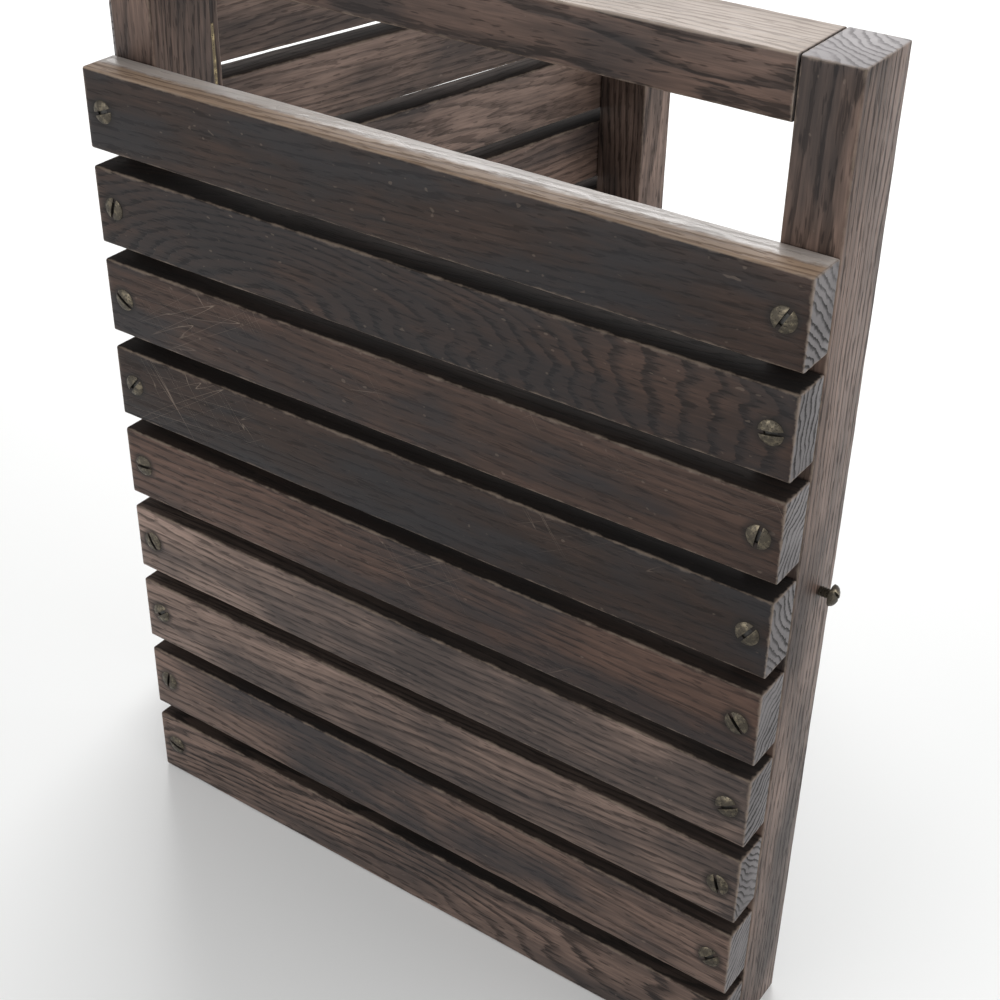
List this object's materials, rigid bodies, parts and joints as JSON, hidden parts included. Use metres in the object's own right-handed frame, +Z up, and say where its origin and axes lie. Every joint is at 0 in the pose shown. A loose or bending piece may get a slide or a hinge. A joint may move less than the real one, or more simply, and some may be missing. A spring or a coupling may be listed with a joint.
{
  "type": "folding magazine rack",
  "caption": "Free-standing slatted oak magazine rack of two hinged leaves that open like a book and fold flat, with hand openings and a side hook.",
  "frame": {"origin": "middle of the open rack's box, on the floor", "axes": "+Z up; the front leaf runs along X with its slats facing -Y; the side leaf runs back from its -X end"},
  "size_m": [0.3776, 0.377, 0.422],
  "materials": {
    "slat_oak": "dark stained oak with a worn thin varnish",
    "frame_oak": "dark stained oak, paler on worn edges and end grain",
    "beech": "bare beech dowel",
    "aged_brass": "dull tarnished brass",
    "hinge_brass": "tarnished brass"
  },
  "bodies": {
    "front_leaf": {"front_hinge_post": "frame_oak", "front_free_post": "frame_oak", "front_bottom_rail": "frame_oak", "front_top_rail": "frame_oak", "front_slat_1": "slat_oak", "front_slat_2": "slat_oak", "front_slat_3": "slat_oak", "front_slat_4": "slat_oak", "front_slat_5": "slat_oak", "front_slat_6": "slat_oak", "front_slat_7": "slat_oak", "front_slat_8": "slat_oak", "front_slat_9": "slat_oak", "front_slat_screws": "aged_brass", "front_dowels": "beech", "front_hinge_screws": "aged_brass", "lower_hinge_front_plate": "hinge_brass", "upper_hinge_front_plate": "hinge_brass", "lower_hinge_pin": "hinge_brass", "upper_hinge_pin": "hinge_brass", "keeper_screw": "aged_brass"},
    "side_leaf": {"side_hinge_post": "frame_oak", "side_free_post": "frame_oak", "side_bottom_rail": "frame_oak", "side_top_rail": "frame_oak", "side_slat_1": "slat_oak", "side_slat_2": "slat_oak", "side_slat_3": "slat_oak", "side_slat_4": "slat_oak", "side_slat_5": "slat_oak", "side_slat_6": "slat_oak", "side_slat_7": "slat_oak", "side_slat_8": "slat_oak", "side_slat_9": "slat_oak", "side_slat_screws": "aged_brass", "side_dowels": "beech", "side_hinge_screws": "aged_brass", "lower_hinge_side_plate": "hinge_brass", "upper_hinge_side_plate": "hinge_brass", "hook_screw": "aged_brass"},
    "catch_hook": {"hook": "aged_brass"}
  },
  "joints": [
    {"name": "leaf_fold", "type": "hinge", "parent": "front_leaf", "child": "side_leaf", "pos_m": [-0.13834, -0.13522, 0], "axis": [0, 0, 1], "range_deg": [-78, 102]},
    {"name": "hook_swing", "type": "hinge", "parent": "side_leaf", "child": "catch_hook", "pos_m": [-0.08594, 0.18058, 0.221], "axis": [-0.2079, -0.9781, 0], "range_deg": [0, 100]}
  ]
}
